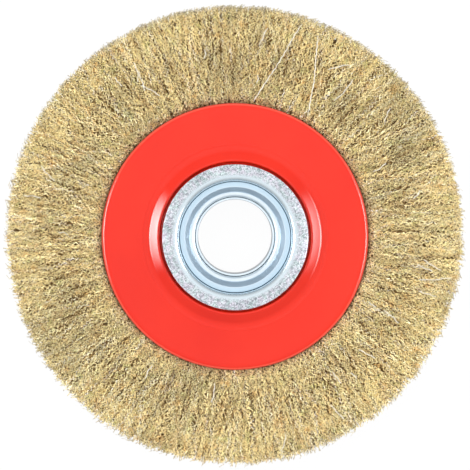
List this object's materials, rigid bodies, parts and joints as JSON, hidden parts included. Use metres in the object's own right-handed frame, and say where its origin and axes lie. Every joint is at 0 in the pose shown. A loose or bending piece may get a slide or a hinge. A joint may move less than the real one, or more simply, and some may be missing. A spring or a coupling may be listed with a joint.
{
  "type": "wire wheel brush",
  "caption": "Thick round brush of crimped brassy wires, clamped between red pressed side plates, with a stepped zinc-plated hub and a round arbor bore.",
  "frame": {"origin": "on the axis of the arbor bore, midway between the front and rear hub faces", "axes": "+Z along the arbor bore, out of the front face; X and Y are any two square directions across the wheel"},
  "size_m": [0.2, 0.2, 0.027],
  "materials": {
    "red_paint": "glossy red enamel on pressed steel",
    "zinc_plate": "bright bluish zinc plating",
    "plain_steel": "plain bent steel wire",
    "brassy_wire": "brass-coated crimped steel wire"
  },
  "bodies": {
    "root": {"front_side_plate": "red_paint", "rear_side_plate": "red_paint", "front_hub_collar": "zinc_plate", "rear_hub_collar": "zinc_plate", "front_bore_cup": "zinc_plate", "rear_bore_cup": "zinc_plate", "retaining_hoop": "plain_steel", "wire_fill": "brassy_wire"}
  },
  "joints": []
}
